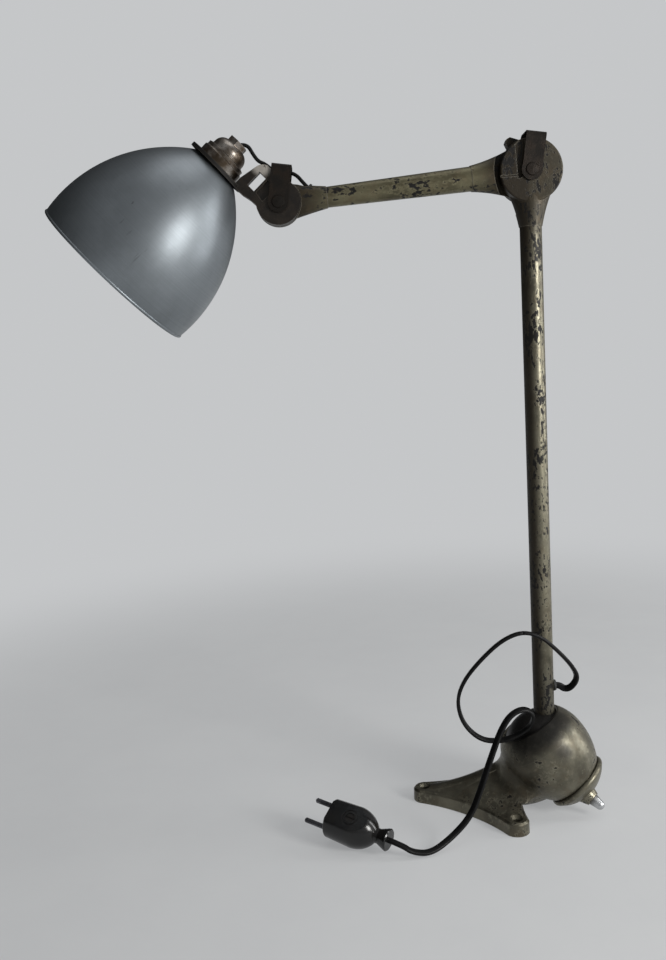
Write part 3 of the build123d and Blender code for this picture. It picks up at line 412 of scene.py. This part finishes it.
# Spun shade: turning lines round its own axis under a dull bloom
def spun_shade():
    material, tree, shader = new_finish("spun_shade")
    place = add_node(tree, "ShaderNodeTexCoord")
    across = shade_dir.cross(hinge).normalized()
    turn = Matrix((across, hinge, shade_dir)).transposed().to_euler()
    mapping = add_node(tree, "ShaderNodeMapping", vector_type="TEXTURE")
    mapping.inputs["Location"].default_value = Vector(mounts["lamp_socket"]["pos_m"])
    mapping.inputs["Rotation"].default_value = turn
    join(tree, place.outputs["Object"], mapping.inputs["Vector"])
    parts = add_node(tree, "ShaderNodeSeparateXYZ")
    join(tree, mapping.outputs["Vector"], parts.inputs[0])
    lines = add_node(tree, "ShaderNodeTexNoise", noise_dimensions="1D")
    lines.inputs["Scale"].default_value = 900
    lines.inputs["Detail"].default_value = 3
    join(tree, parts.outputs["Z"], lines.inputs["W"])
    cloud = use_effect(tree, stains, Scale=16.0, Cover=0.5)
    join(tree, mapping.outputs["Vector"], cloud.inputs["Coords"])
    thin = add_node(tree, "ShaderNodeMapping")
    thin.inputs["Rotation"].default_value = (0.4, 0.9, 0.3)
    thin.inputs["Scale"].default_value = (420, 420, 16)
    join(tree, mapping.outputs["Vector"], thin.inputs["Vector"])
    scratch = ramp(tree, noise(tree, thin.outputs["Vector"], 1.0, 2, 0.4), 0.68, 0.74)
    patch = ramp(tree, noise(tree, mapping.outputs["Vector"], 30.0, 2, 0.5), 0.52, 0.66)
    scratch = sums(tree, "MULTIPLY", sums(tree, "MULTIPLY", scratch, patch), 0.6)
    colour = tint(tree, cloud.outputs["Mask"], rgb(0.25, 0.275, 0.295), rgb(0.19, 0.21, 0.225))
    colour = tint(tree, ramp(tree, lines.outputs["Fac"], 0.35, 0.65, 0.0, 0.1), colour, rgb(0.12, 0.13, 0.14))
    colour = tint(tree, scratch, colour, rgb(0.06, 0.065, 0.07))
    join(tree, colour, shader.inputs["Base Color"])
    rough = ramp(tree, lines.outputs["Fac"], 0.3, 0.7, 0.36, 0.41)
    rough = sums(tree, "ADD", rough, sums(tree, "MULTIPLY", cloud.outputs["Mask"], 0.05))
    join(tree, rough, shader.inputs["Roughness"])
    shader.inputs["Metallic"].default_value = 0.85
    bump(tree, shader, lines.outputs["Fac"], 0.02, 0.0002)
    return material


# Bracket: black ring plate, a pale patch at the top of the finger and a dark brown disc
def bracket_finish():
    material, tree, shader = new_finish("bracket_paint")
    coords, place = object_coords(tree)
    flakes = use_effect(tree, chips, Scale=300.0, Loss=0.43)
    join(tree, coords, flakes.inputs["Coords"])
    cloud = use_effect(tree, stains, Scale=120.0, Cover=0.5)
    join(tree, coords, cloud.inputs["Coords"])
    rub = use_effect(tree, edges, Amount=0.7)
    join(tree, place, rub.inputs["Coords"])
    colour = tint(tree, cloud.outputs["Mask"], rgb(0.021, 0.015, 0.010), rgb(0.009, 0.0065, 0.0045))
    pale = near(tree, place, over_neck(0.0255, 0.0285, -0.006), 0.0055, 0.011)
    pale = sums(tree, "MULTIPLY", pale, ramp(tree, flakes.outputs["Mask"], 0.0, 1.0, 1.0, 0.2))
    colour = tint(tree, pale, colour, rgb(0.42, 0.39, 0.35))
    plate = near(tree, place, over_neck(0, 0, 0), 0.0245, 0.027)
    low = add_node(tree, "ShaderNodeVectorMath", operation="DOT_PRODUCT")
    join(tree, place, low.inputs[0])
    low.inputs[1].default_value = -shade_dir
    level = -shade_dir.dot(neck_at)
    plate = sums(tree, "MULTIPLY", plate, ramp(tree, low.outputs["Value"], level + 0.006, level + 0.0045))
    colour = tint(tree, plate, colour, rgb(0.014, 0.013, 0.012))
    colour = tint(tree, sums(tree, "MULTIPLY", rub.outputs["Mask"], 0.5), colour, rgb(0.22, 0.19, 0.15))
    join(tree, colour, shader.inputs["Base Color"])
    join(tree, ramp(tree, cloud.outputs["Grain"], 0.2, 0.8, 0.36, 0.55), shader.inputs["Roughness"])
    shader.inputs["Metallic"].default_value = 0.4
    bump(tree, shader, cloud.outputs["Grain"], 0.25)
    return material


finishes = {
    "base": worn_paint(
        "base_paint",
        rgb(0.18, 0.168, 0.125),
        0.42,
        230,
        # Black patches round the front of the mouth and along the cord, and a brown patch low on the front by
        # the throat: partly stain, partly painted shade of the cord, the mouth and that crease
        grime_and_shade=(
            ((0.033, -0.036, 0.077), 0.013, 0.032, 1.0, black_grime_and_shade),
            ((0.05, -0.026, 0.082), 0.010, 0.023, 1.0, black_grime_and_shade),
            ((0.064, -0.014, 0.087), 0.007, 0.018, 0.9, black_grime_and_shade),
            ((0.066, -0.034, 0.064), 0.003, 0.013, 0.75, black_grime_and_shade),
            ((0.03, -0.03, 0.03), 0.01, 0.035, 0.6, brown_grime_and_shade),
        ),
        cover=0.5,
        brown=0.35,
        rubbing=0.15,
    ),
    "mast": worn_paint(
        "mast_paint",
        rgb(0.185, 0.172, 0.125),
        0.47,
        430,
        (1, 1, 0.5),
        grime_and_shade=(
            (tuple(elbow_at), 0.03, 0.075, 0.8, brown_grime_and_shade),
            (tuple(ball_at), 0.05, 0.10, 0.6, black_grime_and_shade),
        ),
        brown=0.35,
        # Painted shade: the mast's left side, away from the light, darkened brown
        shaded_side=(ball_at, mast_across, 0.0015, -0.0055, 0.9),
    ),
    "arm": worn_paint(
        "arm_paint",
        rgb(0.15, 0.136, 0.082),
        0.475,
        280,
        (0.6, 1, 1),
        grime_and_shade=(
            (tuple(head_at), 0.02, 0.05, 0.95, brown_grime_and_shade),
            (tuple(elbow_at), 0.026, 0.05, 1.0, brown_grime_and_shade),
        ),
        brown=0.45,
    ),
    "bracket": bracket_finish(),
    "iron": aged_metal("ball_iron", rgb(0.03, 0.028, 0.026), rgb(0.012, 0.011, 0.01), 0.5, 0.4, 0.6, 0.6),
    "strip": aged_metal(
        "strip_rust", rgb(0.020, 0.013, 0.008), rgb(0.007, 0.005, 0.003), 0.55, 0.4, 0.6, 0.6, 110.0, 0.4
    ),
    "steel": aged_metal("handled_steel", rgb(0.30, 0.29, 0.28), rgb(0.10, 0.085, 0.07), 0.45, 0.25, 0.5, 0.9),
    "lever": aged_metal(
        "lever_steel",
        rgb(0.10, 0.095, 0.08),
        rgb(0.045, 0.04, 0.032),
        0.5,
        0.3,
        0.45,
        0.8,
        polished=((0.0966, -0.017, 0.0088), 0.006, 0.013),
    ),
    "nickel": aged_metal(
        "holder_nickel", rgb(0.36, 0.33, 0.30), rgb(0.07, 0.052, 0.036), 0.58, 0.2, 0.4, 0.95, 80.0
    ),
    "brass": aged_metal("dull_brass", rgb(0.42, 0.31, 0.13), rgb(0.16, 0.11, 0.05), 0.45, 0.3, 0.5, 0.95),
    "pin_steel": aged_metal(
        "pin_steel", rgb(0.16, 0.16, 0.175), rgb(0.06, 0.06, 0.065), 0.5, 0.25, 0.45, 0.9
    ),
    "glaze": dull_black("white_glaze", rgb(0.62, 0.60, 0.54), rgb(0.45, 0.42, 0.36), 0.15, 0.3),
    "fibre": dull_black("washer_fibre", rgb(0.03, 0.02, 0.012), rgb(0.05, 0.035, 0.02), 0.7, 0.9),
    "flex": dull_black(
        "black_flex", rgb(0.004, 0.004, 0.004), rgb(0.009, 0.009, 0.0085), 0.34, 0.5, 0.4, 120.0, sheen=0.18
    ),
    "rubber": dull_black("black_rubber", rgb(0.012, 0.012, 0.012), rgb(0.03, 0.03, 0.028), 0.55, 0.8),
    "moulding": dull_black(
        "black_moulding", rgb(0.005, 0.005, 0.005), rgb(0.012, 0.011, 0.010), 0.12, 0.26, 0.45, 60.0, 0.05
    ),
    "shade": spun_shade(),
}
dressed = {
    "base": ("foot_casting", "mouth_ring", "clamp_cap"),
    "mast": ("mast_tube", "mast_head"),
    "arm": ("arm_root", "arm_tube", "arm_tip"),
    "bracket": ("head_bracket",),
    "iron": ("pivot_ball", "pressure_pad", "plug_screw"),
    "strip": ("elbow_strip", "head_strip", "elbow_pin", "head_pin"),
    "steel": ("elbow_nut", "head_nut"),
    "lever": ("clamp_lever",),
    "nickel": ("holder_cap", "holder_skirt", "shade_ring", "entry_nipple"),
    "brass": ("screw_shell", "centre_contact"),
    "pin_steel": ("plug_pin_far", "plug_pin_near"),
    "glaze": ("porcelain_insert",),
    "fibre": ("elbow_washer", "head_washer"),
    "flex": ("mast_lead", "arm_lead"),
    "rubber": ("mast_bush", "port_bush"),
    "moulding": ("plug_top", "plug_bottom"),
    "shade": ("shade",),
}


def dress(piece, finish):
    piece.data.materials.clear()
    piece.data.materials.append(finishes[finish])


for finish, names in dressed.items():
    for name in names:
        dress(nodes[name], finish)


def apply_modifier(piece, kind, **settings):
    made = piece.modifiers.new(kind.lower(), kind)
    for name, value in settings.items():
        setattr(made, name, value)
    bpy.ops.object.modifier_apply(modifier=made.name)


# Cast fillet where the foot's throat meets the socket, the mouth ring and the skirt:
# a copy of both castings is swelled and shrunk back, which fills their creases,
# and only the stretch round the throat is kept, just under the bare faces of the castings
def throat_fillet():
    bpy.ops.object.select_all(action="DESELECT")
    for name in ("foot_casting", "mouth_ring"):
        nodes[name].select_set(True)
        bpy.context.view_layer.objects.active = nodes[name]
    bpy.ops.object.duplicate()
    bpy.ops.object.parent_clear(type="CLEAR_KEEP_TRANSFORM")
    bpy.ops.object.join()
    fillet = bpy.context.object
    fillet.name = "throat_fillet"
    bpy.ops.object.mode_set(mode="EDIT")
    bpy.ops.mesh.select_all(action="SELECT")
    bpy.ops.mesh.remove_doubles(threshold=0.000002)
    bpy.ops.object.mode_set(mode="OBJECT")
    swell = 0.011
    coarse = 0.0012
    fine = 0.001
    sunk = 0.0002
    fillet.data.remesh_voxel_size = coarse
    bpy.ops.object.voxel_remesh()
    apply_modifier(fillet, "DISPLACE", strength=swell, mid_level=0)
    apply_modifier(fillet, "REMESH", mode="VOXEL", voxel_size=coarse)
    apply_modifier(fillet, "SMOOTH", factor=0.5, iterations=20)
    apply_modifier(fillet, "DISPLACE", strength=-swell, mid_level=0)
    apply_modifier(fillet, "REMESH", mode="VOXEL", voxel_size=fine)
    apply_modifier(fillet, "SMOOTH", factor=0.5, iterations=60)
    apply_modifier(fillet, "DISPLACE", strength=-sunk, mid_level=0)
    mouth_rise = radians(60)
    cap_drop = radians(47)
    throat_shift = 0.0045
    throat_top, throat_end, throat_core = 0.012, 0.057, 0.012
    socket_inside = 0.0364
    ring_top = 0.014
    cap_seam = 0.027
    skirt_low = 0.016
    throat_dir = -ball_at.normalized()
    throat_at = ball_at + Vector((-throat_dir.z, 0, throat_dir.x)) * throat_shift
    mouth_dir = Vector((-cos(mouth_rise), 0, sin(mouth_rise)))
    cap_dir = Vector((cos(cap_drop), 0, -sin(cap_drop)))
    mesh = fillet.data
    for vertex in mesh.vertices:
        away = vertex.co - throat_at
        drop = away.dot(throat_dir)
        outward = away - throat_dir * drop
        from_ball = vertex.co - ball_at
        kept = (
            throat_top < drop < throat_end
            and outward.length > throat_core
            and vertex.normal.dot(outward) > -0.2 * outward.length
            and from_ball.length > socket_inside
            and from_ball.dot(mouth_dir) < ring_top
            and from_ball.dot(cap_dir) < cap_seam
            and vertex.co.z > skirt_low
        )
        vertex.select = not kept
    for piece in (*mesh.edges, *mesh.polygons):
        piece.select = all(mesh.vertices[place].select for place in piece.vertices)
    bpy.ops.object.mode_set(mode="EDIT")
    bpy.ops.mesh.select_mode(type="VERT")
    bpy.ops.mesh.delete(type="VERT")
    bpy.ops.object.mode_set(mode="OBJECT")
    apply_modifier(fillet, "SOLIDIFY", thickness=0.0012, offset=-1)
    bpy.ops.object.shade_smooth_by_angle(angle=radians(40))
    dress(fillet, "base")
    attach(fillet, "base")


throat_fillet()


# Floor and light
pale_room = rgb(0.56, 0.57, 0.58)


# Which rays meet the pale background: those of the camera, and those that metal or glass sends on
def background_rays(tree):
    path = add_node(tree, "ShaderNodeLightPath")
    sent_on = sums(tree, "MAXIMUM", path.outputs["Is Glossy Ray"], path.outputs["Is Transmission Ray"])
    return path.outputs["Is Camera Ray"], sent_on


def lay_floor():
    bpy.ops.object.select_all(action="DESELECT")
    bpy.ops.mesh.primitive_plane_add(size=12, location=(0, 0, -0.0002))
    floor = bpy.context.object
    floor.name = "floor"
    bpy.ops.object.transform_apply(location=True, rotation=True, scale=True)
    material, tree, shader = new_finish("floor_pale")
    coords, place = object_coords(tree)
    cloud = use_effect(tree, stains, Scale=9.0, Cover=0.5)
    join(tree, coords, cloud.inputs["Coords"])
    colour = tint(tree, cloud.outputs["Mask"], rgb(0.76, 0.77, 0.77), rgb(0.72, 0.73, 0.735))
    join(tree, colour, shader.inputs["Base Color"])
    shader.inputs["Roughness"].default_value = 0.85
    glow = add_node(tree, "ShaderNodeEmission")
    glow.inputs["Color"].default_value = pale_room
    seen, sent_on = background_rays(tree)
    far = near(tree, place, (0.0, 0.0, 0.0), 1.3, 0.3)
    fade = add_node(tree, "ShaderNodeMixShader")
    even = ramp(tree, far, 0.0, 1.0, 0.5, 1.0)
    join(tree, sums(tree, "MULTIPLY", even, sums(tree, "ADD", seen, sent_on)), fade.inputs["Fac"])
    join(tree, shader.outputs["BSDF"], fade.inputs[1])
    join(tree, glow.outputs["Emission"], fade.inputs[2])
    join(tree, fade.outputs["Shader"], tree.nodes["Material Output"].inputs["Surface"])
    floor.data.materials.append(material)


def add_lamp(name, place, aim, power, size, colour=(1, 1, 1)):
    data = bpy.data.lights.new(name, "AREA")
    data.energy = power
    data.shape = "RECTANGLE"
    data.size, data.size_y = size
    data.color = colour
    lamp = bpy.data.objects.new(name, data)
    scene.collection.objects.link(lamp)
    lamp.location = place
    lamp.rotation_euler = (Vector(aim) - Vector(place)).to_track_quat("-Z", "Y").to_euler()


def light_room():
    world = bpy.data.worlds.new("pale_room")
    scene.world = world
    world.use_nodes = True
    tree = world.node_tree
    back = tree.nodes["Background"]
    back.inputs["Color"].default_value = pale_room
    place = add_node(tree, "ShaderNodeTexCoord")
    toward = add_node(tree, "ShaderNodeVectorMath", operation="DOT_PRODUCT")
    join(tree, place.outputs["Generated"], toward.inputs[0])
    toward.inputs[1].default_value = Vector((0.85, -0.35, 0.4)).normalized()
    room = ramp(tree, toward.outputs["Value"], -0.6, 0.9, 0.05, 0.55)
    mirrored = ramp(tree, toward.outputs["Value"], -0.6, 0.9, 0.04, 0.75)
    seen, sent_on = background_rays(tree)
    rest = sums(tree, "SUBTRACT", sums(tree, "SUBTRACT", 1.0, seen), sent_on)
    shown = sums(tree, "ADD", seen, sums(tree, "MULTIPLY", sent_on, mirrored))
    join(tree, sums(tree, "ADD", shown, sums(tree, "MULTIPLY", rest, room)), back.inputs["Strength"])
    add_lamp("window", (1.05, -0.6, 0.55), (0.0, 0.0, 0.3), 11, (0.36, 0.48), (1.0, 0.99, 0.97))
    add_lamp("side_strip", (1.25, 0.3, 0.5), (0.0, 0.0, 0.3), 6, (0.25, 1.1))
    add_lamp("ceiling", (0.3, 0.1, 1.9), (0, 0, 0.2), 3, (1.0, 1.0))


lay_floor()
light_room()


# Cord courses: from the mast's bush round the loop to the plug, and from the lampholder to the arm's port
cord_route = (
    (0.055822, 0.001452, 0.107),
    (0.062905, 0.003218, 0.107),
    (0.06698, 0.004234, 0.103),
    (0.0726, 0.0015, 0.1054),
    (0.0785, -0.004, 0.1167),
    (0.0734, -0.0105, 0.1292),
    (0.063, -0.0175, 0.1433),
    (0.0507, -0.022, 0.1562),
    (0.0358, -0.026, 0.1621),
    (0.0191, -0.0297, 0.1557),
    (0.0027, -0.0334, 0.141),
    (-0.0123, -0.0364, 0.1234),
    (-0.019, -0.037, 0.1054),
    (-0.0148, -0.0343, 0.0846),
    (-0.0017, -0.0295, 0.0696),
    (0.0127, -0.0265, 0.0674),
    (0.0258, -0.0255, 0.071),
    (0.0398, -0.024, 0.0799),
    (0.0431, -0.0265, 0.0921),
    (0.035, -0.031, 0.099),
    (0.0239, -0.0365, 0.0948),
    (0.0163, -0.0425, 0.0833),
    (0.0111, -0.0485, 0.0704),
    (0.0058, -0.054, 0.0564),
    (0.0001, -0.06, 0.0402),
    (-0.0074, -0.068, 0.0217),
    (-0.0215, -0.079, 0.0089),
    (-0.0368, -0.0943, 0.0022),
    (-0.051, -0.099, 0.0049),
    (-0.057854, -0.099934, 0.010346),
    (-0.074873, -0.094633, 0.012851),
)
head_route = (
    over_neck(0, 0.02, 0),
    over_neck(0, 0.0247, 0),
    over_neck(0.0022, 0.0292, 0.0002),
    over_neck(0.0066, 0.0319, 0.0006),
    over_neck(0.0128, 0.0302, 0.0012),
    over_neck(0.0195, 0.0292, 0.0018),
    over_neck(0.0245, 0.0314, 0.0022),
    over_head(-0.0058, 0.0281, 0.0024),
    over_head(-0.0032, 0.0252, 0.0024),
    over_head(0.0025, 0.0239, 0.0024),
    over_head(0.009, 0.0234, 0.002),
    over_head(0.0153, 0.0208, 0.001),
    port_at + port_dir * 0.016,
    port_at + port_dir * 0.00805,
)


def smooth_line(route, steps):
    data = bpy.data.curves.new("route", "CURVE")
    data.dimensions = "3D"
    data.resolution_u = steps
    spline = data.splines.new("NURBS")
    spline.points.add(len(route) - 1)
    for point, place in zip(spline.points, route):
        point.co = (*place, 1)
    spline.order_u = 3
    spline.use_endpoint_u = True
    holder = bpy.data.objects.new("route", data)
    line = bpy.data.meshes.new_from_object(holder)
    points = [vertex.co.copy() for vertex in line.vertices]
    bpy.data.objects.remove(holder)
    bpy.data.curves.remove(data)
    bpy.data.meshes.remove(line)
    return points


# At each point: its place, the flex's wide direction and its thin one, carried along without twist
def flex_frames(points, start):
    rows = []
    wide = Vector(start)
    for place, here in enumerate(points):
        ahead = points[min(place + 1, len(points) - 1)] - points[max(place - 1, 0)]
        ahead.normalize()
        wide = (wide - ahead * wide.dot(ahead)).normalized()
        rows.append((here, wide.copy(), ahead.cross(wide)))
    return rows


# Flex: two round cores side by side, or one where spread is 0
def flex_piece(name, rows, core, spread):
    around = 10
    section = []
    for lobe, begin in ((1, -pi / 2), (-1, pi / 2)):
        for step in range(around):
            angle = begin + pi * (step + 0.5) / around
            section.append((lobe * spread + core * cos(angle), core * sin(angle)))
    corners = [here + wide * x + thin * y for here, wide, thin in rows for x, y in section]
    count = len(section)
    faces = []
    for row in range(len(rows) - 1):
        for place in range(count):
            after = (place + 1) % count
            low, high = row * count, (row + 1) * count
            faces.append((low + place, low + after, high + after, high + place))
    faces.append(tuple(reversed(range(count))))
    faces.append(tuple(range((len(rows) - 1) * count, len(rows) * count)))
    mesh = bpy.data.meshes.new(name)
    mesh.from_pydata(corners, [], faces)
    mesh.update()
    mesh.shade_smooth()
    piece = bpy.data.objects.new(name, mesh)
    scene.collection.objects.link(piece)
    dress(piece, "flex")
    return piece


curve_steps = 8
flex_core = 0.0015
flex_spread = 0.0013
head_lead_r = 0.00145


# Main cord, in two lengths that meet at the top of its loop
def main_cord():
    points = smooth_line(cord_route, curve_steps)
    rows = flex_frames(points, up)
    split = max(range(len(points)), key=lambda place: points[place].z)
    upper = flex_piece("cord_upper", rows[: split + 1], flex_core, flex_spread)
    lower = flex_piece("cord_lower", rows[split:], flex_core, flex_spread)
    for piece in (upper, lower):
        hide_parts("main_cord")
    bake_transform(upper)
    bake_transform(lower)


# Head cord: one round lead from the arm's port to the lampholder
def head_cord():
    points = smooth_line(head_route, curve_steps)
    rows = flex_frames(points, hinge)
    lead = flex_piece("head_lead", rows, head_lead_r, 0)
    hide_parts("head_cord")
    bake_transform(lead)


main_cord()
head_cord()
